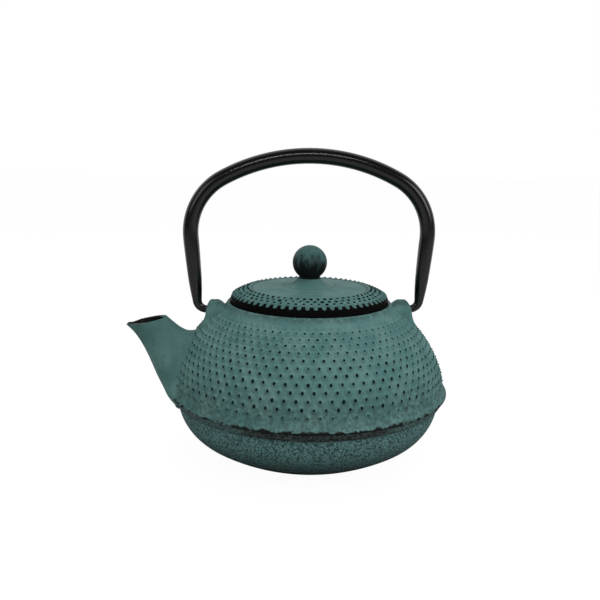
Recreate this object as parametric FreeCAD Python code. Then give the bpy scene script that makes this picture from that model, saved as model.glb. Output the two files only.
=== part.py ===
import FreeCAD, Part
import math
import os

V = FreeCAD.Vector
os.makedirs("parts", exist_ok=True)

# All lengths are in millimetres. Z is the pot's axis and z = 0 its resting face.
# The spout points along -X, and the handle swings about an axis along X.

# Pot body, outside
foot_in_r = 21.5          # recess inside the foot ring
foot_out_r = 28.0         # outer edge of the resting face
foot_h = 1.6              # depth of that recess
foot_step = 1.0           # how far the bowl starts outside the resting face
side_c = (43.8, 37.7)     # centre of the bowl's side arc, as (r, z)
side_r = 27.0             # radius of that arc
bowl_depth = 40.0         # how far the keel arc, tangent to it, reaches below its centre
bowl_top_z = 35.6         # where the bowl ends below the belt
band_r = 72.4             # lower edge of the belt's underside
band_z = 36.4
belt_r = 75.0             # sharp edge of the belt, the pot's widest circle
belt_z = 41.0
belt_flat = 0.5           # land left on that edge
flare_r = 73.0            # a point on the hollow flare above the edge
flare_z = 44.3
shoulder_r = 59.1         # radius of the shoulder's arc
shoulder_low = (72.0, 48.0)   # where the flare runs into the shoulder, as (r, z)
shoulder_top = (46.7, 83.2)   # where the shoulder meets the collar
collar_foot = (44.9, 85.4)
collar_crown = (44.1, 87.3)
collar_top_z = 87.8       # collar round the lid
wall = 3.5                # casting thickness

# Mouth
lid_bore_r = 42.5         # wall round the lid's edge
collar_lip_r = 43.1       # inner edge of the collar's top
seat_z = 85.5             # step the lid rests on
rest_r = 39.7             # recess for the strainer's flange
rest_z = 84.6
mouth_r = 37.2            # clear opening
neck_low_z = 81.0         # lower end of the opening's wall
neck_out_z = 78.5         # where the thick neck runs into the shoulder

# Clearances
loose = 0.3               # between pieces that lift off each other
lid_play = 0.4            # round the lid's edge
pin_play = 0.35           # round each handle pin
screw_play = 0.15         # round the knob's screw

# Spout sections from the root up: x and z of the top, x and z of the bottom, half width
spout_root = (-59.0, 70.6, -68.5, 32.5, 19.5)
spout_throat = (-65.4, 71.4, -79.0, 41.0, 14.4)
spout_waist = (-69.0, 73.2, -84.1, 52.4, 10.4)
spout_neck = (-72.8, 76.3, -90.1, 65.8, 8.2)
spout_rim = (-76.2, 79.4, -97.7, 74.8, 7.2)
spout_wall_root = 3.2
spout_wall_rim = 1.7
bore_reach = 14.0         # how far the bore starts inside the chamber
bore_over = 2.0           # how far the bore's cutter passes the rim
cut_over = 1.0            # how far other cutters pass the face they open

# Lugs and handle hinge
hinge_z = 83.2
lug_in_x = 44.0           # where the lug's crown meets the collar
lug_crown_x = 48.0
lug_out_x = 55.0          # outer face
lug_top_z = 87.6
lug_low_z = 74.0          # buried in the shoulder
lug_bury = 2.0            # how far it reaches into the collar
lug_slope_z = 86.2        # where its sloping crown meets the collar
lug_edge = 1.0            # bevel on the outer face
lug_half_w = 6.2          # half the lug's width along Y
lug_draft = 1.5           # how much wider it is at its root
pin_r = 2.0               # pin and hook
pin_in_x = 47.5           # inner end of each pin
hole_in_x = 46.6          # blind end of each lug hole

# Handle centreline and thickness
arch_top_z = 164.4
arch_r = 96.0             # top of the arch
arch_half_deg = 28.6      # half the angle that the top arc spans
corner_r = 32.5
leg_lean_deg = 4.9        # how far each leg leans in towards its hook
hook_r = 5.0
tube_r = 4.1
thin_r = 3.6              # tube radius where the leg starts to thin quickly
thin_share = 0.65         # how far down the leg that is

# Lid
lid_r = lid_bore_r - lid_play
lid_low_z = seat_z + loose
lid_edge_z = 90.5         # top of the plain edge
tooth_r = 41.6            # rim above the edge
crest_r = 40.4            # outer end of the studded slope
crest_z = 92.2
slope_in_r = 31.6         # inner end of the studded slope
slope_in_z = 95.7
ring_r = 31.0             # shallow step inside the studs
ring_z = 95.4
disc_r = 14.0             # foot of the boss
disc_z = 96.4
boss_mid = (9.0, 97.7)
boss_r = 6.2
boss_z = 100.2            # seat of the knob
lip_out_r = 34.9          # lip that centres the lid in the strainer
lip_in_r = 32.4
lip_low_z = 79.6
lip_edge = 0.7            # bevel at the lip's foot
dome_r = 25.0             # flat under the lid
dome_z = 92.4
dome_low_z = 87.0

# Studs on the lid: rows down the slope, then a row of teeth round the crest
stud_count = 62
stud_rows = 3
stud_in_r = 33.0          # innermost row
stud_gap = 2.3            # from one row to the next
stud_r = 1.45             # from the middle of a stud's foot to its corners
stud_h = 0.9
stud_sink = 0.4           # how deep each stud starts under the surface
tooth_h = 1.0

# Knob and its screw
ball_r = 9.2
ball_z = 108.6
knob_neck_r = 5.7
knob_base_z = boss_z
knob_hole_top_z = 110.0
screw_r = 2.0
screw_top_z = 108.5
head_r = 4.0
head_h = 2.4
head_edge = 0.8
washer_r = 6.0
washer_t = 1.0

# Strainer
sheet = 0.5
flange_r = 39.3
flange_t = 0.6
flange_z = rest_z + loose
sleeve_r = 36.0           # outer radius of the sleeve
skirt_low_z = 79.5
sleeve_low_z = 44.0
sleeve_top_z = 84.6
cup_h = 5.0
cup_bow = 1.4             # how far the cup's floor bows down


def on_arc(centre, radius, z):
    """Point on the outer side of an arc at height z."""
    return (centre[0] + math.sqrt(radius ** 2 - (z - centre[1]) ** 2), z)


def under_arc(centre, radius, r):
    """Point on the lower side of an arc at radius r."""
    return (r, centre[1] - math.sqrt(radius ** 2 - (r - centre[0]) ** 2))


def arc_centre(start, end, radius):
    """Centre of the arc that bulges outwards between two (r, z) points, the lower one first."""
    run = end[0] - start[0]
    rise = end[1] - start[1]
    chord = math.hypot(run, rise)
    back = math.sqrt(radius ** 2 - chord ** 2 / 4) / chord
    return ((start[0] + end[0]) / 2 - rise * back, (start[1] + end[1]) / 2 + run * back)


def halfway(centre, radius, start, end):
    """Point of the arc midway between two of its points."""
    low = math.atan2(start[1] - centre[1], start[0] - centre[0])
    high = math.atan2(end[1] - centre[1], end[0] - centre[0])
    mid = (low + high) / 2
    return (centre[0] + radius * math.cos(mid), centre[1] + radius * math.sin(mid))


def lathe(start, *moves):
    """Turn an outline of (r, z) points about Z. A move of two points is an arc through the first."""
    here = V(start[0], 0, start[1])
    edges = []
    for move in moves + (start,):
        arc = isinstance(move[0], tuple)
        end = move[1] if arc else move
        there = V(end[0], 0, end[1])
        if arc:
            middle = V(move[0][0], 0, move[0][1])
            edges.append(Part.Arc(here, middle, there).toShape())
        else:
            edges.append(Part.LineSegment(here, there).toShape())
        here = there
    face = Part.Face(Part.Wire(edges))
    return face.revolve(V(0, 0, 0), V(0, 0, 1), 360)


def bowl_curve(start_r, inset):
    """Start point of the bowl at radius start_r, then its keel arc and its side arc."""
    drop = bowl_depth - side_r
    rise = (side_c[0] ** 2 - drop ** 2) / (2 * drop)
    keel_c = (0.0, side_c[1] + rise)
    keel = bowl_depth + rise - inset
    side = side_r - inset
    share = side / math.hypot(side_c[0], rise)
    join = (side_c[0] * (1 + share), side_c[1] - rise * share)
    start = under_arc(keel_c, keel, start_r)
    top = on_arc(side_c, side, bowl_top_z)
    keel_move = (halfway(keel_c, keel, start, join), join)
    side_move = (halfway(side_c, side, join, top), top)
    return start, keel_move, side_move


def body_blank():
    """The casting's outside as one solid, before it is hollowed."""
    bowl = bowl_curve(foot_out_r + foot_step, 0)
    middle = arc_centre(shoulder_low, shoulder_top, shoulder_r)
    return lathe(
        (0, foot_h),
        (foot_in_r, foot_h),
        (foot_in_r + foot_h, 0),
        (foot_out_r, 0),
        *bowl,
        (band_r, band_z),
        (belt_r, belt_z - belt_flat),
        (belt_r, belt_z),
        ((flare_r, flare_z), shoulder_low),
        (halfway(middle, shoulder_r, shoulder_low, shoulder_top), shoulder_top),
        collar_foot,
        collar_crown,
        (collar_lip_r, collar_top_z),
        (0, collar_top_z),
    )


def chamber():
    """The hollow inside the body, with the stepped mouth above it."""
    floor, keel, side = bowl_curve(foot_in_r, wall)
    shoulder_c = arc_centre(shoulder_low, shoulder_top, shoulder_r)
    waist = on_arc(shoulder_c, shoulder_r - wall, flare_z)
    top = on_arc(shoulder_c, shoulder_r - wall, neck_out_z)
    middle_z = (waist[0] ** 2 + waist[1] ** 2 - top[0] ** 2 - top[1] ** 2) / (2 * (waist[1] - top[1]))
    middle = (0.0, middle_z)
    ball = math.hypot(waist[0], waist[1] - middle_z)
    return lathe(
        (0, floor[1]),
        floor,
        keel,
        side,
        waist,
        (halfway(middle, ball, waist, top), top),
        (mouth_r, neck_low_z),
        (mouth_r, rest_z),
        (rest_r, rest_z),
        (rest_r, seat_z),
        (lid_bore_r, seat_z),
        (lid_bore_r, collar_top_z - loose),
        (collar_lip_r, collar_top_z),
        (collar_lip_r, collar_top_z + cut_over),
        (0, collar_top_z + cut_over),
    )


def spout_sections():
    """Each section as its top point, its bottom point and its half width."""
    rows = (spout_root, spout_throat, spout_waist, spout_neck, spout_rim)
    return [((top_x, top_z), (low_x, low_z), width) for top_x, top_z, low_x, low_z, width in rows]


def oval(top, bottom, half_width):
    """Elliptical section of the spout, standing on edge along Y."""
    high = V(top[0], 0, top[1])
    low = V(bottom[0], 0, bottom[1])
    centre = (high + low) * 0.5
    return Part.Wire(Part.Ellipse(high, centre + V(0, half_width, 0), centre).toShape())


def swept(sections):
    """Solid that passes through the sections along a curve through their centres."""
    centres = [V((top[0] + low[0]) / 2, 0, (top[1] + low[1]) / 2) for top, low, width in sections]
    curve = Part.BSplineCurve()
    curve.interpolate(centres)
    shell = Part.BRepOffsetAPI.MakePipeShell(Part.Wire(curve.toShape()))
    shell.setBiNormalMode(V(0, 1, 0))
    for top, low, width in sections:
        shell.add(oval(top, low, width))
    shell.build()
    shell.makeSolid()
    return shell.shape()


def shrunk(section, inset):
    """The same section, smaller by inset all round."""
    top, low, width = section
    share = inset / math.hypot(top[0] - low[0], top[1] - low[1])
    dx = (top[0] - low[0]) * share
    dz = (top[1] - low[1]) * share
    return (top[0] - dx, top[1] - dz), (low[0] + dx, low[1] + dz), width - inset


def shifted(section, dx, dz):
    top, low, width = section
    return (top[0] + dx, top[1] + dz), (low[0] + dx, low[1] + dz), width


def spout_bore():
    """Cutter for the spout's channel, from inside the chamber to past the rim."""
    outside = spout_sections()
    steps = len(outside) - 1
    sections = []
    for i, section in enumerate(outside):
        inset = spout_wall_root + (spout_wall_rim - spout_wall_root) * i / steps
        sections.append(shrunk(section, inset))
    top, low, width = sections[-1]
    span = math.hypot(top[0] - low[0], top[1] - low[1])
    dx = -bore_over * (top[1] - low[1]) / span
    dz = bore_over * (top[0] - low[0]) / span
    first = shifted(sections[0], bore_reach, 0)
    last = shifted(sections[-1], dx, dz)
    return swept([first] + sections + [last])


def lug():
    """Lug on the +X side: a plate with a crowned top, wider at its root."""
    side = Part.makePolygon([
        V(lug_in_x - lug_bury, 0, lug_low_z),
        V(lug_in_x - lug_bury, 0, lug_slope_z),
        V(lug_in_x, 0, lug_slope_z),
        V(lug_crown_x, 0, lug_top_z),
        V(lug_out_x - lug_edge, 0, lug_top_z),
        V(lug_out_x, 0, lug_top_z - lug_edge),
        V(lug_out_x, 0, lug_low_z),
        V(lug_in_x - lug_bury, 0, lug_low_z),
    ])
    root = lug_half_w + lug_draft
    plate = Part.Face(side).extrude(V(0, 2 * root, 0))
    plate.translate(V(0, -root, 0))
    left = V(0, -root, lug_low_z)
    right = V(0, root, lug_low_z)
    left_up = V(0, -lug_half_w, hinge_z)
    right_up = V(0, lug_half_w, hinge_z)
    crown = V(0, 0, lug_top_z)
    front = Part.Wire([
        Part.LineSegment(left, right).toShape(),
        Part.LineSegment(right, right_up).toShape(),
        Part.Arc(right_up, crown, left_up).toShape(),
        Part.LineSegment(left_up, left).toShape(),
    ])
    eye = Part.Face(front).extrude(V(lug_out_x, 0, 0))
    return plate.common(eye)


def lug_hole():
    length = lug_out_x + cut_over - hole_in_x
    return Part.makeCylinder(pin_r + pin_play, length, V(hole_in_x, 0, hinge_z), V(1, 0, 0))


def mirrored(shape):
    return shape.mirror(V(0, 0, 0), V(1, 0, 0))


def pot_body():
    right = lug()
    blank = body_blank().multiFuse([swept(spout_sections()), right, mirrored(right)])
    hole = lug_hole()
    return blank.cut([chamber(), spout_bore(), hole, mirrored(hole)]).removeSplitter()


def pyramid(foot, axis, across, height):
    """Four-sided stud that stands on foot along axis."""
    side = axis.cross(across)
    base = [foot + across * stud_r, foot + side * stud_r, foot - across * stud_r, foot - side * stud_r]
    tip = foot + axis * height
    faces = [Part.Face(Part.makePolygon(base + base[:1]))]
    for i, corner in enumerate(base):
        faces.append(Part.Face(Part.makePolygon([corner, base[(i + 1) % 4], tip, corner])))
    return Part.Solid(Part.Shell(faces))


def ring_of_studs(r, z, out, up, turn, height):
    """Studs in a ring at (r, z), leaning along (out, up) and turned by a share of the pitch."""
    studs = []
    for i in range(stud_count):
        angle = 2 * math.pi * (i + turn) / stud_count
        c, s = math.cos(angle), math.sin(angle)
        axis = V(out * c, out * s, up)
        foot = V(r * c, r * s, z) - axis * stud_sink
        studs.append(pyramid(foot, axis, V(-s, c, 0), height + stud_sink))
    return studs


def lid_studs():
    """Rows down the lid's slope, each half a pitch round from the last, then the teeth."""
    run = crest_r - slope_in_r
    drop = slope_in_z - crest_z
    slope = math.hypot(run, drop)
    studs = []
    for row in range(stud_rows):
        r = stud_in_r + stud_gap * row
        z = slope_in_z - drop * (r - slope_in_r) / run
        studs += ring_of_studs(r, z, drop / slope, run / slope, row / 2, stud_h)
    run = tooth_r - crest_r
    drop = crest_z - lid_edge_z
    slope = math.hypot(run, drop)
    middle_r = (crest_r + tooth_r) / 2
    middle_z = (crest_z + lid_edge_z) / 2
    return studs + ring_of_studs(middle_r, middle_z, drop / slope, run / slope, stud_rows / 2, tooth_h)


def lid():
    """Lid with a stepped top, a plain edge and a lip below, then its studs."""
    hole_r = screw_r + screw_play
    plain = lathe(
        (hole_r, dome_z),
        (dome_r, dome_z),
        (lip_in_r, dome_low_z),
        (lip_in_r, lip_low_z),
        (lip_out_r - lip_edge, lip_low_z),
        (lip_out_r, lip_low_z + lip_edge),
        (lip_out_r, lid_low_z),
        (lid_r, lid_low_z),
        (lid_r, lid_edge_z),
        (tooth_r, lid_edge_z),
        (crest_r, crest_z),
        (slope_in_r, slope_in_z),
        (ring_r, ring_z),
        (disc_r, disc_z),
        (boss_mid, (boss_r, boss_z)),
        (hole_r, boss_z),
    )
    return plain.multiFuse(lid_studs())


def lid_knob():
    """Ball on a short neck, with a blind hole for the screw."""
    join_z = ball_z - math.sqrt(ball_r ** 2 - knob_neck_r ** 2)
    turned = lathe(
        (0, knob_base_z),
        (knob_neck_r, knob_base_z),
        (knob_neck_r, join_z),
        ((ball_r, ball_z), (0, ball_z + ball_r)),
    )
    hole_r = screw_r + screw_play
    return turned.cut(Part.makeCylinder(hole_r, knob_hole_top_z - knob_base_z, V(0, 0, knob_base_z)))


def knob_screw():
    head_z = dome_z - washer_t - head_h
    return lathe(
        (0, head_z),
        (head_r - head_edge, head_z),
        (head_r, head_z + head_edge),
        (head_r, head_z + head_h),
        (screw_r, head_z + head_h),
        (screw_r, screw_top_z - head_edge),
        (screw_r - head_edge, screw_top_z),
        (0, screw_top_z),
    )


def knob_washer():
    hole_r = screw_r + screw_play
    z = dome_z - washer_t
    return lathe((hole_r, z), (washer_r, z), (washer_r, dome_z), (hole_r, dome_z))


def place(centre, radius, angle):
    return V(centre[0] + radius * math.cos(angle), 0, centre[1] + radius * math.sin(angle))


def ring(centre, radius, angle, thick):
    """Circle across a bar of radius thick, where it follows an arc at the given angle."""
    along = V(-math.sin(angle), 0, math.cos(angle))
    return Part.Wire(Part.Circle(place(centre, radius, angle), along, thick).toShape())


def bent_bar(centre, radius, first, last, thick):
    """Bar of constant thickness round part of a circle, from one angle down to another."""
    face = Part.Face(ring(centre, radius, first, thick))
    axis = V(centre[0], 0, centre[1])
    return face.revolve(axis, V(0, 1, 0), math.degrees(first - last))


def frustum(start, end, start_r, end_r):
    run = end - start
    return Part.makeCone(start_r, end_r, run.Length, start, run)


def bail_handle():
    """Arch of tangent arcs on two legs that thin towards a hook and a straight pin."""
    arch_c = (0.0, arch_top_z - arch_r)
    half = math.radians(arch_half_deg)
    lean = math.radians(leg_lean_deg)
    top = math.pi / 2
    step = arch_r - corner_r
    corner_c = (step * math.sin(half), arch_c[1] + step * math.cos(half))
    knee = place(corner_c, corner_r, -lean)
    hook_z = hinge_z + hook_r
    ankle_z = hook_z - hook_r * math.sin(lean)
    ankle = V(knee.x - (knee.z - ankle_z) * math.tan(lean), 0, ankle_z)
    hook_c = (ankle.x - hook_r * math.cos(lean), hook_z)
    calf = knee + (ankle - knee) * thin_share
    corner = bent_bar(corner_c, corner_r, top - half, -lean, tube_r)
    upper = frustum(knee, calf, tube_r, thin_r)
    lower = frustum(calf, ankle, thin_r, pin_r)
    hook = bent_bar(hook_c, hook_r, -lean, -top, pin_r)
    pin = Part.makeCylinder(pin_r, hook_c[0] - pin_in_x, V(pin_in_x, 0, hinge_z), V(1, 0, 0))
    side = corner.multiFuse([upper, lower, hook, pin])
    arch = bent_bar(arch_c, arch_r, top + half, top - half, tube_r)
    return arch.multiFuse([side, mirrored(side)])


def strainer_rim():
    """Flanged ring with a short skirt round the top of the sleeve."""
    return lathe(
        (sleeve_r, skirt_low_z),
        (sleeve_r + sheet, skirt_low_z),
        (sleeve_r + sheet, flange_z),
        (flange_r, flange_z),
        (flange_r, flange_z + flange_t),
        (sleeve_r, flange_z + flange_t),
    )


def strainer_wall():
    inner = sleeve_r - sheet
    return lathe((inner, sleeve_low_z), (sleeve_r, sleeve_low_z), (sleeve_r, sleeve_top_z), (inner, sleeve_top_z))


def strainer_base():
    """Shallow dished cup pressed over the lower end of the sleeve."""
    outer = sleeve_r + sheet
    floor_z = sleeve_low_z - sheet
    dish_r = (outer ** 2 + cup_bow ** 2) / (2 * cup_bow)
    dish_c = (0.0, floor_z - cup_bow + dish_r)
    edge = under_arc(dish_c, dish_r, outer)
    inner = under_arc(dish_c, dish_r - sheet, sleeve_r)
    low = under_arc(dish_c, dish_r, 0)
    high = under_arc(dish_c, dish_r - sheet, 0)
    return lathe(
        low,
        (halfway(dish_c, dish_r, low, edge), edge),
        (outer, sleeve_low_z + cup_h),
        (sleeve_r, sleeve_low_z + cup_h),
        inner,
        (halfway(dish_c, dish_r - sheet, inner, high), high),
    )


makers = [
    pot_body,
    lid,
    lid_knob,
    knob_screw,
    knob_washer,
    bail_handle,
    strainer_rim,
    strainer_wall,
    strainer_base,
]
for maker in makers:
    maker().exportStep("parts/" + maker.__name__ + ".step")
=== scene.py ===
import bmesh
import bpy
import math
from collections import namedtuple
from mathutils import Matrix, Vector


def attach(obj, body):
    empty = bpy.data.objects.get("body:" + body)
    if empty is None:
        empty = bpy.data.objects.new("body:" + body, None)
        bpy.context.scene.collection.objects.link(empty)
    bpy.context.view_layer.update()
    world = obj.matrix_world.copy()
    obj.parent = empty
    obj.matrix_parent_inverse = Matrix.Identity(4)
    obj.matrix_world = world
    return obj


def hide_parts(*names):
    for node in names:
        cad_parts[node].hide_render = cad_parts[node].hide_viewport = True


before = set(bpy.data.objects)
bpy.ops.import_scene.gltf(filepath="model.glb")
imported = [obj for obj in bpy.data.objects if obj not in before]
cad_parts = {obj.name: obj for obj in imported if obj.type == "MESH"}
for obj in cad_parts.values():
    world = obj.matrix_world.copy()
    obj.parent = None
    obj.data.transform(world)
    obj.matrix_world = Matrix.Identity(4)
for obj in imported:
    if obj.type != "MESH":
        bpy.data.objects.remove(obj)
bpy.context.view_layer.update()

MM = 0.001
ROUND = 2 * math.pi

# Outlines are (r, z) points in millimetres, z up from the table. A circle is its centre and its radius.
SHOULDER = ((14.7, 33.5), 59.1)
KEEL = ((0.0, 104.986), 107.286)
SIDE = ((43.8, 37.7), 27.0)
CEILING = ((0.0, 24.09), 72.13)
WALL = 3.5
PIVOT_Z = 83.2


# Modelling

def fresh():
    """Back to object mode with nothing selected."""
    if bpy.context.object and bpy.context.object.mode != "OBJECT":
        bpy.ops.object.mode_set(mode="OBJECT")
    bpy.ops.object.select_all(action="DESELECT")


def pick(piece):
    """Make one piece selected and active."""
    fresh()
    piece.select_set(True)
    bpy.context.view_layer.objects.active = piece


def choose(piece, wanted):
    """In edit mode, select the points of a piece that are wanted and no others."""
    bpy.ops.mesh.select_all(action="DESELECT")
    mesh = bmesh.from_edit_mesh(piece.data)
    mesh.verts.index_update()
    for point in mesh.verts:
        point.select_set(wanted(point))
    mesh.select_flush(True)
    bmesh.update_edit_mesh(piece.data)


def arc(circle, first, last, steps, inset=0.0):
    """Outline points round part of a circle, between two angles in degrees."""
    (r, z), radius = circle
    points = []
    for i in range(steps + 1):
        angle = math.radians(first + (last - first) * i / steps)
        reach = radius - inset
        points.append((r + reach * math.cos(angle), z + reach * math.sin(angle)))
    return points


def close_up(piece, smooth=35):
    """Merge doubles, turn the faces outwards and smooth all but the sharp edges."""
    pick(piece)
    bpy.ops.object.mode_set(mode="EDIT")
    bpy.ops.mesh.select_all(action="SELECT")
    bpy.ops.mesh.remove_doubles(threshold=1e-6)
    bpy.ops.mesh.normals_make_consistent(inside=False)
    bpy.ops.object.mode_set(mode="OBJECT")
    bpy.ops.object.shade_smooth_by_angle(angle=math.radians(smooth))


def turned(name, outline, around=240, loop=False):
    """Turn an outline about Z: a circle, extruded and scaled from point to point."""
    fresh()
    r, z = outline[0]
    bpy.ops.mesh.primitive_circle_add(vertices=around, radius=r * MM, location=(0, 0, z * MM))
    piece = bpy.context.object
    piece.name = name
    bpy.ops.object.transform_apply()
    bpy.ops.object.mode_set(mode="EDIT")
    bpy.ops.mesh.select_all(action="SELECT")
    for next_r, next_z in outline[1:] + ([outline[0]] if loop else []):
        bpy.ops.mesh.extrude_region_move(TRANSFORM_OT_translate={"value": (0, 0, (next_z - z) * MM)})
        share = next_r / r
        bpy.ops.transform.resize(value=(share, share, 1), center_override=(0, 0, next_z * MM))
        r, z = next_r, next_z
    if not loop:
        bpy.ops.mesh.select_all(action="SELECT")
        bpy.ops.mesh.fill_holes(sides=0)
    close_up(piece)
    return piece


def apply(piece, kind, **settings):
    """Add a modifier, set it and apply it."""
    pick(piece)
    modifier = piece.modifiers.new(kind.title(), kind)
    for key, value in settings.items():
        setattr(modifier, key, value)
    bpy.ops.object.modifier_apply(modifier=modifier.name)


def cut(piece, tool):
    """Take one solid out of another and discard the cutter."""
    apply(piece, "BOOLEAN", object=tool, operation="DIFFERENCE", solver="EXACT")
    bpy.data.objects.remove(tool)


def joined(pieces, name):
    """Several pieces as one."""
    fresh()
    for piece in pieces:
        piece.select_set(True)
    bpy.context.view_layer.objects.active = pieces[0]
    bpy.ops.object.join()
    pieces[0].name = name
    return pieces[0]


def mirrored(piece, name):
    """A copy of a piece on the other side."""
    pick(piece)
    bpy.ops.object.duplicate()
    copy = bpy.context.object
    copy.name = name
    bpy.ops.transform.mirror(constraint_axis=(True, False, False), center_override=(0, 0, 0))
    bpy.ops.object.transform_apply()
    close_up(copy, 40)
    return copy


def dress(piece, coat, body):
    """Give a piece its finish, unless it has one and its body."""
    if not piece.data.materials:
        piece.data.materials.append(coat)
    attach(piece, body)


# Nodes that the finishes are made of

def put(tree, socket, value):
    """Link a socket to another or give it a value."""
    if isinstance(value, bpy.types.NodeSocket):
        tree.links.new(value, socket)
    else:
        socket.default_value = value


def calc(tree, operation, a, b=0.0):
    node = tree.nodes.new("ShaderNodeMath")
    node.operation = operation
    put(tree, node.inputs[0], a)
    put(tree, node.inputs[1], b)
    return node.outputs[0]


def times(tree, a, b):
    return calc(tree, "MULTIPLY", a, b)


def length(tree, a, b):
    """Long side over two sides at a right angle."""
    return calc(tree, "SQRT", calc(tree, "ADD", times(tree, a, a), times(tree, b, b)))


def noise(tree, where, scale, detail=3.0):
    node = tree.nodes.new("ShaderNodeTexNoise")
    put(tree, node.inputs["Vector"], where)
    node.inputs["Scale"].default_value = scale
    node.inputs["Detail"].default_value = detail
    return node.outputs["Fac"]


def wander(tree, where, scale, detail, width):
    """Noise that strays to both sides of zero."""
    return times(tree, calc(tree, "SUBTRACT", noise(tree, where, scale, detail), 0.5), width)


def ramp(tree, value, low, high, most=1.0):
    """Smooth step from 0 at low to most at high."""
    node = tree.nodes.new("ShaderNodeMapRange")
    node.interpolation_type = "SMOOTHSTEP"
    put(tree, node.inputs["Value"], value)
    node.inputs["From Min"].default_value = low
    node.inputs["From Max"].default_value = high
    node.inputs["To Max"].default_value = most
    return node.outputs[0]


def between(tree, share, least, most):
    """Value at a share of the way between two others."""
    node = tree.nodes.new("ShaderNodeMapRange")
    put(tree, node.inputs["Value"], share)
    put(tree, node.inputs["To Min"], least)
    put(tree, node.inputs["To Max"], most)
    return node.outputs[0]


def over(tree, share, first, second):
    """Second colour laid over the first by a share."""
    node = tree.nodes.new("ShaderNodeMix")
    node.data_type = "RGBA"
    put(tree, node.inputs[0], share)
    for socket, colour in ((node.inputs[6], first), (node.inputs[7], second)):
        put(tree, socket, colour if isinstance(colour, bpy.types.NodeSocket) else (*colour, 1.0))
    return node.outputs[2]


def stretched(tree, where, scale):
    """Place scaled by its own amount along each axis."""
    node = tree.nodes.new("ShaderNodeMapping")
    put(tree, node.inputs["Vector"], where)
    node.inputs["Scale"].default_value = scale
    return node.outputs[0]


def rough_up(tree, shader, height, strength, depth):
    """Uneven surface from a height."""
    bump = tree.nodes.new("ShaderNodeBump")
    put(tree, bump.inputs["Height"], height)
    bump.inputs["Strength"].default_value = strength
    bump.inputs["Distance"].default_value = depth
    tree.links.new(bump.outputs[0], shader.inputs["Normal"])


Spot = namedtuple("Spot", "x r z")


def split(tree, where):
    """The x, y and z of a place."""
    node = tree.nodes.new("ShaderNodeSeparateXYZ")
    put(tree, node.inputs[0], where)
    return node.outputs


def spot(tree, where):
    """Where a point lies sideways, from the pot's axis and above the table, in metres."""
    x, y, z = split(tree, where)
    return Spot(x, length(tree, x, y), z)


def apart(tree, at, r, z):
    """Distance of a spot from a point (r, z) of the outline, in metres."""
    return length(tree, calc(tree, "SUBTRACT", at.r, r), calc(tree, "SUBTRACT", at.z, z))


# How much the painted iron mirrors, and the lacquered handle
SHEEN = 0.03
LACQUER_SHEEN = 0.50


def finish(name):
    """A new material with its node tree, its shader and the place on the piece."""
    material = bpy.data.materials.new(name)
    material.use_nodes = True
    tree = material.node_tree
    shader = tree.nodes["Principled BSDF"]
    shader.inputs["Specular IOR Level"].default_value = SHEEN
    where = tree.nodes.new("ShaderNodeTexCoord").outputs["Object"]
    return material, tree, shader, where


def dulled(tree, shader, share, most):
    """Take most of the sheen off where the share is 1."""
    left = calc(tree, "SUBTRACT", SHEEN, ramp(tree, share, 0.0, 1.0, SHEEN * most))
    put(tree, shader.inputs["Specular IOR Level"], left)


# Finishes

TEAL = (0.082, 0.185, 0.176)
TEAL_PALE = (0.118, 0.232, 0.219)
TEAL_DULL = (0.060, 0.128, 0.124)
BARE = (0.010, 0.012, 0.012)
BARE_GREY = (0.058, 0.072, 0.067)
# Near-black for the studs' worn tips, and painted shade on the shoulder studs' lower sides
STUD_TIP_AND_SHADE = (0.003, 0.010, 0.010)
SOOT = (0.030, 0.048, 0.047)
GRIT_PALE = (0.122, 0.244, 0.238)
GRIT_DARK = (0.023, 0.052, 0.051)
# Painted shade: the near-black teal that the bowl darkens to at the foot
FOOT_PAINTED_SHADE = (0.008, 0.014, 0.014)
RUBBED_DARK = (0.034, 0.060, 0.057)
RUBBED_PALE = (0.086, 0.158, 0.150)
EDGE_BLACK = (0.0040, 0.0037, 0.0037)
ENAMEL_BLACK = (0.010, 0.010, 0.011)
ENAMEL_HAZE = (0.022, 0.022, 0.023)
LACQUER_BLACK = (0.0016, 0.0016, 0.0016)
LACQUER_SCUFF = (0.0040, 0.0039, 0.0037)
STEEL_DARK = (0.42, 0.42, 0.41)
STEEL_PALE = (0.66, 0.66, 0.65)


def teal_coat(tree, where, tone=0.0):
    """Paint rubbed into cast iron: soft patches and dark pores."""
    patch = ramp(tree, noise(tree, where, 85.0, 4.0), 0.36, 0.66)
    coat = over(tree, patch, TEAL, TEAL_PALE)
    coat = over(tree, tone, coat, TEAL_DULL)
    pores = ramp(tree, noise(tree, where, 820.0, 2.0), 0.60, 0.74, 0.45)
    return over(tree, pores, coat, SOOT)


def shoulder_coat(tree, where, z):
    """The coat of the shoulder, duller and grittier towards the belt."""
    grit = ramp(tree, noise(tree, where, 520.0, 4.0), 0.34, 0.66, 0.55)
    return over(tree, times(tree, ramp(tree, z, 0.062, 0.046), grit), teal_coat(tree, where), SOOT)


def bowl_coat(tree, where, z):
    """The coarse coat of the bowl, with painted shade darkening it towards the foot."""
    grit = ramp(tree, noise(tree, where, 1000.0, 3.0), 0.35, 0.67)
    coat = over(tree, grit, GRIT_PALE, GRIT_DARK)
    # painted shade, darker towards the foot
    return over(tree, ramp(tree, z, 0.032, 0.010, 0.94), coat, FOOT_PAINTED_SHADE)


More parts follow.
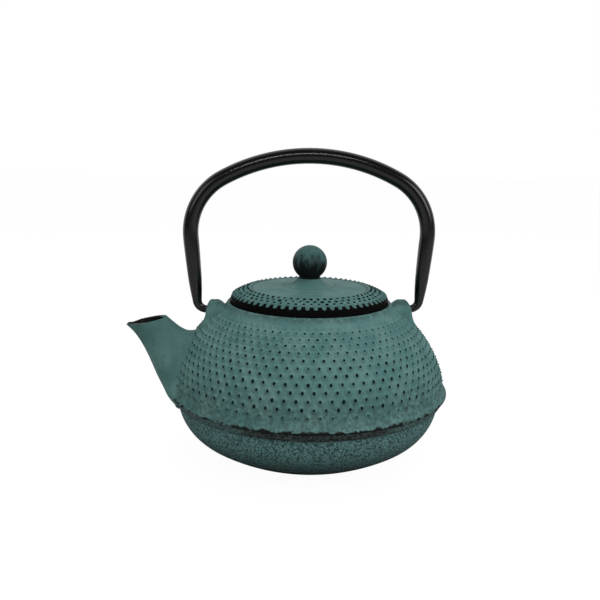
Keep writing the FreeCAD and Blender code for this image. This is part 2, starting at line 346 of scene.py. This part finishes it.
def worn_belt(tree, where, at, coat):
    """The belt's underside, scraped bare in the middle and rubbed at the sides, with a ragged edge."""
    ragged = calc(tree, "SUBTRACT", noise(tree, where, 330.0, 5.0), 0.5)
    height = calc(tree, "ADD", at.z, times(tree, ragged, 0.0042))
    sideways = calc(tree, "ADD", calc(tree, "ABSOLUTE", at.x), wander(tree, where, 55.0, 3.0, 0.05))
    middle = ramp(tree, sideways, 0.050, 0.022)
    band = times(tree, ramp(tree, height, 0.0418, 0.0411), ramp(tree, at.z, 0.0356, 0.0362))
    grain = ramp(tree, noise(tree, where, 900.0, 4.0), 0.38, 0.66)
    scraped = over(tree, grain, BARE, BARE_GREY)
    rubbed = over(tree, grain, RUBBED_DARK, RUBBED_PALE)
    coat = over(tree, band, coat, over(tree, ramp(tree, middle, 0.0, 1.0, 0.9), rubbed, scraped))
    from_edge = calc(tree, "ADD", apart(tree, at, 0.0752, 0.0407), times(tree, ragged, 0.0040))
    unbroken = calc(tree, "MAXIMUM", middle, ramp(tree, noise(tree, where, 260.0, 4.0), 0.44, 0.56))
    coat = over(tree, times(tree, unbroken, ramp(tree, from_edge, 0.0012, 0.0005)), coat, BARE)
    from_groove = apart(tree, at, 0.0722, 0.0361)
    return over(tree, ramp(tree, from_groove, 0.0010, 0.0004, 0.85), coat, BARE)


def pot_paint():
    material, tree, shader, where = finish("teal_painted_iron")
    at = spot(tree, where)
    below_belt = ramp(tree, at.z, 0.0405, 0.034)
    coat = over(tree, below_belt, shoulder_coat(tree, where, at.z), bowl_coat(tree, where, at.z))
    rubbed_collar = ramp(tree, noise(tree, where, 420.0, 4.0), 0.30, 0.62, 0.6)
    coat = over(tree, times(tree, ramp(tree, at.z, 0.0842, 0.0876), rubbed_collar), coat, SOOT)
    put(tree, shader.inputs["Base Color"], worn_belt(tree, where, at, coat))
    put(tree, shader.inputs["Roughness"], between(tree, noise(tree, where, 300.0), 0.48, 0.72))
    rough_up(tree, shader, noise(tree, where, 900.0, 4.0), 0.35, 0.0004)
    return material


def stud_paint():
    """Paint rubbed off each stud's tip, with painted shade drawn out down each stud's lower side."""
    material, tree, shader, where = finish("stud_iron_worn_tips_painted_shade")
    at = spot(tree, where)
    (centre_r, centre_z), radius = SHOULDER
    proud = calc(tree, "SUBTRACT", apart(tree, at, centre_r * MM, centre_z * MM), radius * MM)
    below = tree.nodes.new("ShaderNodeAttribute")
    below.attribute_name = "downhill"
    # painted shade on each stud's downhill side, stronger lower down the shoulder
    painted_shade_low_side = times(tree, calc(tree, "MAXIMUM", below.outputs["Fac"], 0.0), ramp(tree, at.z, 0.084, 0.058, 0.32))
    smaller = ramp(tree, at.z, 0.066, 0.084, 0.00010)
    proud = calc(tree, "ADD", proud, calc(tree, "SUBTRACT", painted_shade_low_side, smaller))
    tip = ramp(tree, calc(tree, "ADD", proud, wander(tree, where, 170.0, 3.0, 0.0007)), 0.00074, 0.00096)
    # dark mark: worn tip plus painted shade down the stud's lower side
    put(tree, shader.inputs["Base Color"], over(tree, tip, shoulder_coat(tree, where, at.z), STUD_TIP_AND_SHADE))
    dulled(tree, shader, tip, 0.7)
    shader.inputs["Roughness"].default_value = 0.55
    rough_up(tree, shader, noise(tree, where, 900.0, 4.0), 0.3, 0.0003)
    return material


def spout_paint():
    material, tree, shader, where = finish("spout_teal")
    coat = teal_coat(tree, where, ramp(tree, spot(tree, where).z, 0.055, 0.075, 0.7))
    smear = ramp(tree, noise(tree, where, 140.0, 5.0), 0.55, 0.72, 0.5)
    put(tree, shader.inputs["Base Color"], over(tree, smear, coat, TEAL_DULL))
    shader.inputs["Roughness"].default_value = 0.55
    rough_up(tree, shader, noise(tree, where, 700.0, 4.0), 0.3, 0.0004)
    return material


def enamel():
    material, tree, shader, where = finish("black_enamel")
    haze = ramp(tree, noise(tree, where, 240.0, 4.0), 0.4, 0.75)
    put(tree, shader.inputs["Base Color"], over(tree, haze, ENAMEL_BLACK, ENAMEL_HAZE))
    shader.inputs["Roughness"].default_value = 0.28
    rough_up(tree, shader, noise(tree, where, 420.0, 3.0), 0.15, 0.0003)
    return material


# Dark rings turned into the lid: radius in metres and how dark
LID_RINGS = [(0.0309, 0.65), (0.0140, 0.35)]

# Slope that the lid's studs stand on: its inner end as (r, z) and its fall per millimetre
STUD_SLOPE = ((31.6, 95.27), 0.36)


def lid_paint():
    """Teal top with two dark rings, faint turning marks and a black edge."""
    material, tree, shader, where = finish("lid_teal")
    at = spot(tree, where)
    coat = teal_coat(tree, where, 0.26)
    stray = wander(tree, where, 200.0, 3.0, 0.0010)
    for ring, share in LID_RINGS:
        near = calc(tree, "ABSOLUTE", calc(tree, "SUBTRACT", calc(tree, "ADD", at.r, stray), ring))
        coat = over(tree, ramp(tree, near, 0.0009, 0.0002, share), coat, SOOT)
    edge = ramp(tree, calc(tree, "ADD", at.z, stray), 0.0927, 0.0923)
    put(tree, shader.inputs["Base Color"], over(tree, edge, coat, EDGE_BLACK))
    dulled(tree, shader, edge, 0.8)
    shader.inputs["Roughness"].default_value = 0.5
    turning = times(tree, calc(tree, "SINE", times(tree, at.r, 1900.0)), 0.12)
    rough_up(tree, shader, calc(tree, "ADD", noise(tree, where, 800.0, 4.0), turning), 0.3, 0.0004)
    return material


def lid_stud_paint():
    material, tree, shader, where = finish("rubbed_lid_studs")
    at = spot(tree, where)
    (inner_r, inner_z), fall = STUD_SLOPE
    fallen = times(tree, calc(tree, "SUBTRACT", at.r, inner_r * MM), fall)
    proud = calc(tree, "SUBTRACT", calc(tree, "ADD", at.z, fallen), inner_z * MM)
    tip = ramp(tree, calc(tree, "ADD", proud, wander(tree, where, 260.0, 3.0, 0.0010)), 0.00028, 0.00046)
    put(tree, shader.inputs["Base Color"], over(tree, tip, teal_coat(tree, where), STUD_TIP_AND_SHADE))
    shader.inputs["Roughness"].default_value = 0.55
    rough_up(tree, shader, noise(tree, where, 900.0, 3.0), 0.25, 0.0003)
    return material


def knob_paint():
    """Black iron with teal brushed down from the top."""
    material, tree, shader, where = finish("knob_teal_over_black")
    streak = wander(tree, stretched(tree, where, (520.0, 520.0, 110.0)), 1.0, 4.0, 0.018)
    painted = ramp(tree, calc(tree, "ADD", spot(tree, where).z, streak), 0.1065, 0.1165)
    put(tree, shader.inputs["Base Color"], over(tree, painted, BARE, teal_coat(tree, where, 1.0)))
    shader.inputs["Roughness"].default_value = 0.45
    rough_up(tree, shader, noise(tree, where, 700.0, 4.0), 0.25, 0.0003)
    return material


def handle_paint():
    material, tree, shader, where = finish("black_lacquered_iron")
    scuff = ramp(tree, noise(tree, where, 330.0, 5.0), 0.5, 0.75)
    put(tree, shader.inputs["Base Color"], over(tree, scuff, LACQUER_BLACK, LACQUER_SCUFF))
    put(tree, shader.inputs["Roughness"], between(tree, noise(tree, where, 180.0), 0.16, 0.22))
    shader.inputs["Specular IOR Level"].default_value = LACQUER_SHEEN
    rough_up(tree, shader, noise(tree, where, 650.0, 4.0), 0.01, 0.0003)
    return material


def steel(name, grain, roughness):
    material, tree, shader, where = finish(name)
    brushed = noise(tree, stretched(tree, where, grain), 1.0, 4.0)
    put(tree, shader.inputs["Base Color"], over(tree, brushed, STEEL_DARK, STEEL_PALE))
    shader.inputs["Metallic"].default_value = 1.0
    shader.inputs["Roughness"].default_value = roughness
    rough_up(tree, shader, brushed, 0.12, 0.0002)
    return material


# Pot

def pot_shell():
    """Body of the pot, outside and inside, with its belt and the stepped mouth."""
    outside = [(0.5, 1.6), (21.5, 1.6), (22.3, 1.2), (23.1, 0.0), (28.0, 0.0), (28.6, 0.6)]
    outside += arc(KEEL, -74.32, -56.95, 14)[:-1]
    outside += arc(SIDE, -56.95, -4.46, 22)
    belt = [(72.4, 36.4), (73.4, 38.2), (74.5, 40.0), (75.0, 40.5), (75.0, 41.0), (74.1, 42.0)]
    belt += [(73.5, 43.1), (73.0, 44.3), (72.4, 46.2)]
    shoulder = arc(SHOULDER, 14.2, 57.24, 30)
    collar = [(45.8, 84.3), (44.9, 85.4), (44.3, 86.9), (43.8, 87.5), (43.1, 87.8), (42.5, 87.6)]
    mouth = [(42.5, 85.5), (39.7, 85.5), (39.7, 84.6), (37.2, 84.6), (37.2, 81.0)]
    inside = arc(CEILING, 48.97, 16.27, 16)
    inside += arc(SIDE, -5.13, -56.95, 16, WALL)[:-1]
    inside += arc(KEEL, -56.95, -78.04, 10, WALL)
    return turned("pot_shell", outside + belt + shoulder + collar + mouth + inside + [(0.5, 3.45)])


def line_inside(shell, lining):
    """Black lining on the chamber and on the steps of the mouth."""
    shell.data.materials.append(lining)
    (centre_r, centre_z), radius = SHOULDER
    for face in shell.data.polygons:
        middle = face.center / MM
        r = math.hypot(middle.x, middle.y)
        inward = face.normal.x * middle.x + face.normal.y * middle.y < 0 or face.normal.z > 0.5
        under_shoulder = math.hypot(r - centre_r, middle.z - centre_z) < radius - 1
        in_bowl = inward and 2 < middle.z < 40
        in_shoulder = under_shoulder and r < 71 and middle.z > 40
        in_mouth = r < 43.3 and middle.z > 80
        if in_bowl or in_shoulder or in_mouth:
            face.material_index = 1


# Ovals through the spout: highest point, lowest point and half width, from the root to the mouth
SPOUT_ROOT = [
    ((-59.0, 72.6), (-71.4, 29.5), 24.0),
    ((-61.2, 71.6), (-75.0, 34.6), 20.0),
]
SPOUT = [
    ((-63.4, 71.1), (-77.2, 38.2), 16.8),
    ((-65.6, 71.3), (-79.0, 41.0), 14.4),
    ((-67.2, 72.2), (-81.8, 46.6), 12.2),
    ((-69.0, 73.2), (-84.1, 52.4), 10.4),
    ((-70.8, 74.6), (-86.9, 59.3), 9.1),
    ((-72.8, 76.3), (-90.1, 65.8), 8.2),
    ((-74.6, 77.9), (-93.8, 71.2), 7.6),
    ((-76.2, 79.4), (-97.7, 74.8), 7.2),
]
BORE = [
    ((-52.0, 68.0), (-60.0, 37.0), 15.5),
    ((-62.0, 67.5), (-71.5, 38.0), 14.0),
    ((-67.5, 68.5), (-77.0, 46.0), 11.0),
]
SPOUT_SIDES = 32
SPOUT_WALL = 1.4

# How the two root ovals lie on the shoulder: which one, how far above it and from what height up
ROOT_FIT = [(0, -0.3, 0.0), (1, 0.4, 48.0)]
ROOT_SPREAD = 1.4         # how much wider the foot of the root is drawn
LIP_PINCH = 0.72          # how much narrower the tip of the lip is drawn


def ovals(name, sections):
    """Ovals bridged one to the next."""
    fresh()
    for i, (top, low, half_width) in enumerate(sections):
        run = Vector((top[0] - low[0], 0, top[1] - low[1]))
        middle = Vector((top[0] + low[0], 0, top[1] + low[1])) * MM / 2
        bpy.ops.mesh.primitive_circle_add(vertices=SPOUT_SIDES, radius=half_width * MM, location=middle)
        if i == 0:
            piece = bpy.context.object
            piece.name = name
            bpy.ops.object.transform_apply()
            bpy.ops.object.mode_set(mode="EDIT")
            bpy.ops.mesh.select_all(action="SELECT")
        bpy.ops.transform.resize(value=(run.length / 2 / half_width, 1, 1), center_override=middle)
        bpy.ops.transform.rotate(value=math.atan2(run.z, run.x), orient_axis="Y", center_override=middle)
    for i in range(len(sections) - 1):
        two_ovals = range(SPOUT_SIDES * i, SPOUT_SIDES * (i + 2))
        choose(piece, lambda point: point.index in two_ovals)
        bpy.ops.mesh.bridge_edge_loops()
    bpy.ops.object.mode_set(mode="OBJECT")
    return piece


def spout(shell, outside, lining):
    """Hollow spout whose root is drawn out over the shoulder."""
    piece = ovals("spout", SPOUT_ROOT + SPOUT)
    for oval, lift, lowest in ROOT_FIT:
        group = piece.vertex_groups.new(name="root")
        points = range(SPOUT_SIDES * oval, SPOUT_SIDES * (oval + 1))
        group.add([i for i in points if piece.data.vertices[i].co.z > lowest * MM], 1.0, "REPLACE")
        apply(piece, "SHRINKWRAP", target=shell, offset=lift * MM, vertex_group=group.name,
              wrap_mode="ABOVE_SURFACE")
        piece.vertex_groups.clear()
    pick(piece)
    bpy.ops.object.mode_set(mode="EDIT")
    choose(piece, lambda point: point.co.x < -0.0925 and point.co.z > 0.068)
    bpy.ops.transform.resize(value=(1, LIP_PINCH, 1), center_override=(0, 0, 0))
    choose(piece, lambda point: point.index < SPOUT_SIDES * 3 and point.co.z < 0.044)
    bpy.ops.transform.resize(value=(1, ROOT_SPREAD, 1), center_override=(0, 0, 0))
    bpy.ops.object.mode_set(mode="OBJECT")
    close_up(piece, 180)
    apply(piece, "SUBSURF", levels=2, render_levels=2)
    piece.data.materials.append(outside)
    piece.data.materials.append(lining)
    apply(piece, "SOLIDIFY", thickness=SPOUT_WALL * MM, offset=-1.0, material_offset=1)
    close_up(piece, 50)
    (top_x, top_z), (low_x, low_z), _ = SPOUT[-1]
    along = Vector((low_z - top_z, 0, top_x - low_x)).normalized()
    for face in piece.data.polygons:
        if face.center.z > 0.0735 and face.normal.dot(along) > 0.9:
            face.material_index = 1
    return piece


def bore():
    """Cutter for the way from the chamber into the spout."""
    piece = ovals("bore", BORE)
    pick(piece)
    bpy.ops.object.mode_set(mode="EDIT")
    bpy.ops.mesh.select_all(action="SELECT")
    bpy.ops.mesh.fill_holes(sides=0)
    close_up(piece)
    return piece


def handle_lug():
    """Rounded hump on the shoulder that the handle's end turns in, narrowed above and spread below."""
    fresh()
    bpy.ops.mesh.primitive_cube_add(size=1, location=(0.0495, 0, 0.0795), scale=(0.0118, 0.0140, 0.0172))
    piece = bpy.context.object
    piece.name = "handle_lug"
    bpy.ops.object.transform_apply()
    bpy.ops.object.mode_set(mode="EDIT")
    bpy.ops.mesh.subdivide(number_cuts=3)
    choose(piece, lambda point: point.co.z > 0.0870)
    bpy.ops.transform.resize(value=(0.45, 0.5, 1), center_override=(0.0515, 0, 0.0880))
    choose(piece, lambda point: point.co.z < 0.0765)
    bpy.ops.transform.resize(value=(1.3, 1.5, 1), center_override=(0.0480, 0, 0.0740))
    bpy.ops.object.mode_set(mode="OBJECT")
    apply(piece, "SUBSURF", levels=2, render_levels=2)
    fresh()
    bpy.ops.mesh.primitive_cylinder_add(
        vertices=32, radius=0.0024, depth=0.014, location=(0.0536, 0, PIVOT_Z * MM), rotation=(0, math.pi / 2, 0))
    cut(piece, bpy.context.object)
    close_up(piece, 40)
    return piece


# Studs

# Rows of shoulder studs from the collar down, as (r, z), each of 80
SHOULDER_ROWS = [
    (47.3, 83.8), (50.26, 81.85), (53.17, 79.6), (55.97, 77.2), (58.64, 74.6), (61.14, 71.7), (63.42, 68.6),
    (65.45, 65.4), (67.34, 62.0), (68.89, 58.6), (70.38, 54.95), (71.6, 51.4), (72.4, 47.8),
]
SHOULDER_STUDS = 80

# How far the faint first and last rows are sunk
STUD_SINK = {0: 0.35, 12: 0.2}

LID_STUDS = 62
LID_ROWS = (33.0, 35.3, 37.6)


def stud(height, base):
    """One pointed stud, standing at the origin, that knows which way is downhill."""
    steps = [(base, -0.25), (base * 0.82, 0.08), (base * 0.46, height * 0.48), (base * 0.2, height * 0.86),
             (base * 0.07, height)]
    seed = turned("stud", steps, around=8)
    # the downhill value steers the painted shade on each shoulder stud's lower side
    downhill = seed.data.attributes.new("downhill", "FLOAT", "POINT")
    for vertex, value in zip(seed.data.vertices, downhill.data):
        value.value = vertex.co.x
    return seed


def row_of(seed, r, z, lean, count, turn):
    """Copies of a stud round Z, each leaning out by an angle."""
    pick(seed)
    bpy.ops.object.duplicate()
    copy = bpy.context.object
    first = ROUND * turn / count
    stand = Matrix.Rotation(first, 4, "Z") @ Matrix.Translation((r * MM, 0, z * MM))
    copy.matrix_world = stand @ Matrix.Rotation(lean, 4, "Y")
    bpy.ops.object.transform_apply()
    bpy.ops.object.mode_set(mode="EDIT")
    bpy.ops.mesh.select_all(action="SELECT")
    bpy.ops.mesh.spin(
        steps=count - 1, dupli=True, angle=ROUND * (count - 1) / count, center=(0, 0, 0), axis=(0, 0, 1))
    bpy.ops.object.mode_set(mode="OBJECT")
    return copy


def stud_of(vertex):
    """All the points of the stud that a point belongs to."""
    points = [vertex]
    seen = {vertex}
    for member in points:
        for edge in member.link_edges:
            other = edge.other_vert(member)
            if other not in seen:
                seen.add(other)
                points.append(other)
    return points


def drop_studs(piece, unwanted):
    """Delete the studs whose middles are in an unwanted place."""
    pick(piece)
    bpy.ops.object.mode_set(mode="EDIT")
    bpy.ops.mesh.select_all(action="DESELECT")
    mesh = bmesh.from_edit_mesh(piece.data)
    seen = set()
    for vertex in mesh.verts:
        if vertex in seen:
            continue
        points = stud_of(vertex)
        seen.update(points)
        middle = sum((point.co for point in points), Vector()) / len(points)
        if unwanted(middle / MM):
            for point in points:
                point.select_set(True)
    mesh.select_flush(True)
    bmesh.update_edit_mesh(piece.data)
    bpy.ops.mesh.delete(type="VERT")
    close_up(piece, 60)


def by_spout_or_lug(middle):
    by_spout = middle.x < 0 and (middle.y / 19.0) ** 2 + ((middle.z - 52.5) / 20.0) ** 2 < 1
    by_lug = abs(middle.y) < 8.0 and middle.z > 77.0
    return by_spout or by_lug


def shoulder_studs():
    """Rows of studs square to the shoulder, left out at the spout and the lugs."""
    seed = stud(1.15, 2.25)
    (centre_r, centre_z), radius = SHOULDER
    rows = []
    for i, (r, z) in enumerate(SHOULDER_ROWS):
        out = math.atan2(r - centre_r, z - centre_z)
        reach = radius - STUD_SINK.get(i, 0.0)
        foot_r = centre_r + reach * math.sin(out)
        foot_z = centre_z + reach * math.cos(out)
        rows.append(row_of(seed, foot_r, foot_z, out, SHOULDER_STUDS, i / 2))
    bpy.data.objects.remove(seed)
    piece = joined(rows, "shoulder_studs")
    drop_studs(piece, by_spout_or_lug)
    return piece


# Lid

def lid_cover():
    """Lid from its edge to the boss, with the lip and the hollow underneath."""
    under = [(2.2, 92.4), (25.0, 92.4), (29.0, 91.2), (31.6, 88.6), (32.4, 86.5), (32.4, 79.6), (34.2, 79.6)]
    lip = [(34.9, 80.3), (34.9, 85.8), (41.7, 85.8), (42.1, 86.2), (42.1, 90.0), (41.8, 90.5)]
    slope = [(41.4, 90.6), (40.4, 92.0), (40.0, 92.25), (37.1, 93.3), (34.4, 94.25), (31.8, 95.2)]
    step = [(31.2, 95.25), (30.8, 95.05)]
    top = [(28.0, 95.25), (22.0, 95.7), (15.0, 96.3), (13.0, 96.6), (10.5, 97.1), (8.6, 97.9), (7.0, 99.2)]
    boss = [(6.2, 100.2), (2.2, 100.2)]
    return turned("lid_cover", under + lip + slope + step + top + boss, loop=True)


def lid_studs():
    """Rows of studs on the lid's slope."""
    seed = stud(0.85, 1.6)
    lean = math.atan2(3.1, 8.4)
    (inner_r, inner_z), fall = STUD_SLOPE
    rows = []
    for i, r in enumerate(LID_ROWS):
        rows.append(row_of(seed, r, inner_z - (r - inner_r) * fall, lean, LID_STUDS, i / 2))
    bpy.data.objects.remove(seed)
    piece = joined(rows, "lid_studs")
    close_up(piece, 60)
    return piece


def lid_teeth():
    """Flat rounded teeth that lie down the slope and end over the lid's black edge."""
    outline = [(0.9, -0.3), (1.35, 0.8), (1.4, 2.0), (1.1, 3.1), (0.6, 3.8), (0.2, 4.1)]
    seed = turned("tooth", outline, around=8)
    pick(seed)
    bpy.ops.transform.resize(value=(0.55, 1, 1))
    bpy.ops.object.transform_apply()
    piece = row_of(seed, 37.8, 92.65, math.radians(109), LID_STUDS, 1.5)
    bpy.data.objects.remove(seed)
    piece.name = "lid_teeth"
    close_up(piece, 60)
    return piece


def ball_knob():
    """Knob with its short neck."""
    neck = [(2.2, 100.2), (5.2, 100.2), (5.7, 100.6), (5.6, 101.2)]
    ball = arc(((0.0, 108.6), 9.2), -51.5, 88.0, 36)
    return turned("ball_knob", neck + ball, around=96)


# Handle, in millimetres and radians
TUBE_R = 4.1
ARCH_TOP = 164.4
ARCH_R = 96.0
ARCH_HALF = math.radians(28.6)
CORNER_R = 32.5
LEG_LEAN = math.radians(4.9)
LEG = [(118, 4.1), (112, 3.98), (105, 3.78), (99, 3.55), (94, 3.15), (90.5, 2.78), (87.77, 2.45)]
HOOK_R = 5.0
HOOK_STEPS = 5
HOOK_TAPER = 0.96
PIN_END = 47.5


def round_in(middle, radius, angle):
    """Point on a circle in the handle's plane."""
    return middle + radius * Vector((math.cos(angle), 0, math.sin(angle)))


def arch_handle():
    """Half the arch spun from a circle at its top, drawn out to the leg and hook, then mirrored."""
    fresh()
    bpy.ops.mesh.primitive_circle_add(
        vertices=32, radius=TUBE_R * MM, location=(0, 0, ARCH_TOP * MM), rotation=(0, math.pi / 2, 0))
    piece = bpy.context.object
    piece.name = "arch_handle"
    bpy.ops.object.transform_apply()
    bpy.ops.object.mode_set(mode="EDIT")
    bpy.ops.mesh.select_all(action="SELECT")
    arch = Vector((0, 0, ARCH_TOP - ARCH_R))
    corner = round_in(arch, ARCH_R - CORNER_R, math.pi / 2 - ARCH_HALF)
    knee = round_in(corner, CORNER_R, -LEG_LEAN)
    bpy.ops.mesh.spin(steps=18, angle=ARCH_HALF, center=arch * MM, axis=(0, -1, 0))
    bpy.ops.mesh.spin(steps=22, angle=math.pi / 2 - ARCH_HALF + LEG_LEAN, center=corner * MM, axis=(0, -1, 0))
    here, thick = knee, TUBE_R
    for z, next_thick in LEG:
        there = Vector((knee.x - (knee.z - z) * math.tan(LEG_LEAN), 0, z))
        bpy.ops.mesh.extrude_region_move(TRANSFORM_OT_translate={"value": (there - here) * MM})
        share = next_thick / thick
        bpy.ops.transform.resize(value=(share, share, share), center_override=there * MM)
        here, thick = there, next_thick
    hook = round_in(here, -HOOK_R, -LEG_LEAN)
    turn = (math.pi / 2 - LEG_LEAN) / HOOK_STEPS
    for i in range(HOOK_STEPS):
        bpy.ops.mesh.spin(steps=2, angle=turn, center=hook * MM, axis=(0, -1, 0))
        middle = round_in(hook, HOOK_R, -LEG_LEAN - turn * (i + 1))
        bpy.ops.transform.resize(value=(HOOK_TAPER, HOOK_TAPER, HOOK_TAPER), center_override=middle * MM)
    bpy.ops.mesh.extrude_region_move(TRANSFORM_OT_translate={"value": ((PIN_END - hook.x) * MM, 0, 0)})
    bpy.ops.mesh.edge_face_add()
    bpy.ops.object.mode_set(mode="OBJECT")
    apply(piece, "MIRROR", use_axis=(True, False, False), merge_threshold=1e-5)
    close_up(piece, 50)
    return piece


# Strainer sleeve, in metres
SLEEVE_R = 0.036
SLEEVE_H = 0.0406
SLEEVE_MIDDLE = 0.0643
SLEEVE_SHEET = 0.0005
PIERCED_FROM, PIERCED_TO = 0.0500, 0.0790
BAR = 0.00042             # half the metal left between two holes


def mesh_sleeve():
    """Strainer wall: a sheet sleeve pierced all over."""
    fresh()
    bpy.ops.mesh.primitive_cylinder_add(
        vertices=120, radius=SLEEVE_R, depth=SLEEVE_H, end_fill_type="NOTHING", location=(0, 0, SLEEVE_MIDDLE))
    piece = bpy.context.object
    piece.name = "mesh_sleeve"
    bpy.ops.object.transform_apply()
    bpy.ops.object.mode_set(mode="EDIT")
    mesh = bmesh.from_edit_mesh(piece.data)
    upright = [edge for edge in mesh.edges if abs(edge.verts[0].co.z - edge.verts[1].co.z) > SLEEVE_H / 2]
    bpy.ops.mesh.select_all(action="DESELECT")
    bpy.ops.mesh.select_mode(type="EDGE")
    for edge in upright:
        edge.select_set(True)
    bmesh.update_edit_mesh(piece.data)
    bpy.ops.mesh.subdivide(number_cuts=23)
    bpy.ops.mesh.select_all(action="DESELECT")
    bpy.ops.mesh.select_mode(type="FACE")
    mesh = bmesh.from_edit_mesh(piece.data)
    for face in mesh.faces:
        face.select_set(PIERCED_FROM < face.calc_center_median().z < PIERCED_TO)
    bmesh.update_edit_mesh(piece.data)
    bpy.ops.mesh.inset(thickness=BAR, use_individual=True)
    bpy.ops.mesh.delete(type="FACE")
    bpy.ops.mesh.select_mode(type="VERT")
    bpy.ops.object.mode_set(mode="OBJECT")
    apply(piece, "SOLIDIFY", thickness=SLEEVE_SHEET, offset=-1.0)
    close_up(piece, 40)
    return piece


# The teapot

def make_pot(iron, spout_iron):
    lining = enamel()
    shell = pot_shell()
    pouring = spout(shell, spout_iron, lining)
    cut(shell, bore())
    close_up(shell)
    dress(shell, iron, "pot")
    line_inside(shell, lining)
    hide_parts("pot_body")
    dress(pouring, spout_iron, "pot")
    lug = handle_lug()
    for piece in (lug, mirrored(lug, "handle_lug_spout_side")):
        dress(piece, iron, "pot")
    dress(shoulder_studs(), stud_paint(), "pot")


def make_lid(tooth_iron):
    cover = lid_cover()
    dress(cover, lid_paint(), "lid_set")
    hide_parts("lid")
    dress(lid_studs(), lid_stud_paint(), "lid_set")
    dress(lid_teeth(), tooth_iron, "lid_set")
    knob = ball_knob()
    dress(knob, knob_paint(), "lid_set")
    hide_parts("lid_knob")
    carry_over(steel("fixing_steel", (900.0, 900.0, 120.0), 0.38), "knob_screw", "knob_washer")


def make_handle():
    arch = arch_handle()
    dress(arch, handle_paint(), "handle")
    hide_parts("bail_handle")


def make_strainer():
    brushed = steel("brushed_strainer_steel", (60.0, 60.0, 2200.0), 0.32)
    sleeve = mesh_sleeve()
    dress(sleeve, brushed, "strainer")
    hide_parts("strainer_wall")
    carry_over(brushed, "strainer_rim", "strainer_base")


def carry_over(coat, *nodes):
    """Give CAD nodes that stay as they are their finish."""
    for node in nodes:
        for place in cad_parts[node].material_slots:
            place.material = coat


# Studio

# Name, place, width and depth in metres, power
LAMPS = [
    ("overhead_softbox", (0.10, -0.10, 0.95), 0.70, 0.70, 4.2),
    ("left_softbox", (-0.75, -0.60, 0.55), 0.50, 0.50, 1.2),
    ("right_softbox", (0.80, -0.55, 0.45), 0.50, 0.50, 2.5),
    ("front_strip", (0.0, -0.90, 0.76), 0.70, 0.06, 2.0),
]
LAMP_AIM = (0, 0, 0.07)
ROOM_LIGHT = 0.27         # the room's own light
MIRRORED_ROOM = 0.17      # how much darker its near side is in a mirror

CAMERA_PLACE = (-0.0326, -0.3954, 0.16865)
CAMERA_TURN = math.radians(-4.0)
CAMERA_DIP = 0.2006
CAMERA_ROLL = 0.015
CAMERA_LENS = 45.06


def seen_as_white(tree, coordinate, near, far):
    """1 for the rays that see white: straight, through something or, behind the pot, in a mirror."""
    way = split(tree, tree.nodes.new("ShaderNodeTexCoord").outputs[coordinate])
    ray = tree.nodes.new("ShaderNodeLightPath").outputs
    in_mirror = times(tree, ray["Is Glossy Ray"], ramp(tree, way["Y"], near, far))
    straight = calc(tree, "MAXIMUM", ray["Is Camera Ray"], ray["Is Transmission Ray"])
    return calc(tree, "MAXIMUM", straight, in_mirror)


def white_table():
    """Pale table that looks white but keeps the shadow."""
    fresh()
    bpy.ops.mesh.primitive_plane_add(size=8)
    table = bpy.context.object
    table.name = "white_table"
    material = bpy.data.materials.new("white_table")
    material.use_nodes = True
    tree = material.node_tree
    shader = tree.nodes["Principled BSDF"]
    shader.inputs["Base Color"].default_value = (0.62, 0.62, 0.62, 1)
    shader.inputs["Roughness"].default_value = 0.9
    shader.inputs["Specular IOR Level"].default_value = 0.1
    glow = tree.nodes.new("ShaderNodeEmission")
    glow.inputs["Strength"].default_value = 1.12
    mix = tree.nodes.new("ShaderNodeMixShader")
    put(tree, mix.inputs[0], times(tree, seen_as_white(tree, "Object", 0.0, 0.4), 0.86))
    tree.links.new(shader.outputs[0], mix.inputs[1])
    tree.links.new(glow.outputs[0], mix.inputs[2])
    tree.links.new(mix.outputs[0], tree.nodes["Material Output"].inputs["Surface"])
    table.data.materials.append(material)


def white_room():
    """White surroundings, with a dim near side for what mirrors it."""
    world = bpy.data.worlds.new("studio_white")
    bpy.context.scene.world = world
    world.use_nodes = True
    tree = world.node_tree
    sky = tree.nodes["Background"]
    sky.inputs["Color"].default_value = (1, 1, 1, 1)
    mirror = tree.nodes.new("ShaderNodeLightPath").outputs["Is Glossy Ray"]
    room = calc(tree, "SUBTRACT", ROOM_LIGHT, times(tree, mirror, MIRRORED_ROOM))
    put(tree, sky.inputs["Strength"], between(tree, seen_as_white(tree, "Generated", -0.1, 0.4), room, 1.0))


def hang_lamps():
    """Soft light from above and both sides, and a strip that draws the line along the handle."""
    for name, place, width, depth, power in LAMPS:
        lamp = bpy.data.lights.new(name, "AREA")
        lamp.shape = "RECTANGLE"
        lamp.size = width
        lamp.size_y = depth
        lamp.energy = power
        light = bpy.data.objects.new(name, lamp)
        bpy.context.scene.collection.objects.link(light)
        light.visible_glossy = name != "overhead_softbox"
        light.location = place
        aim = Vector(LAMP_AIM) - Vector(place)
        light.rotation_euler = aim.to_track_quat("-Z", "Y").to_euler()


def set_camera():
    lens = bpy.data.cameras.new("camera")
    lens.sensor_width = 36.0
    lens.lens = CAMERA_LENS
    camera = bpy.data.objects.new("camera", lens)
    bpy.context.scene.collection.objects.link(camera)
    turn = Matrix.Rotation(CAMERA_TURN, 4, "Z") @ Matrix.Rotation(math.pi / 2 - CAMERA_DIP, 4, "X")
    camera.matrix_world = Matrix.Translation(CAMERA_PLACE) @ turn @ Matrix.Rotation(CAMERA_ROLL, 4, "Z")
    bpy.context.scene.camera = camera
    bpy.context.scene.view_settings.view_transform = "Standard"


spout_teal = spout_paint()
make_pot(pot_paint(), spout_teal)
make_lid(spout_teal)
make_handle()
make_strainer()
white_table()
white_room()
hang_lamps()
set_camera()
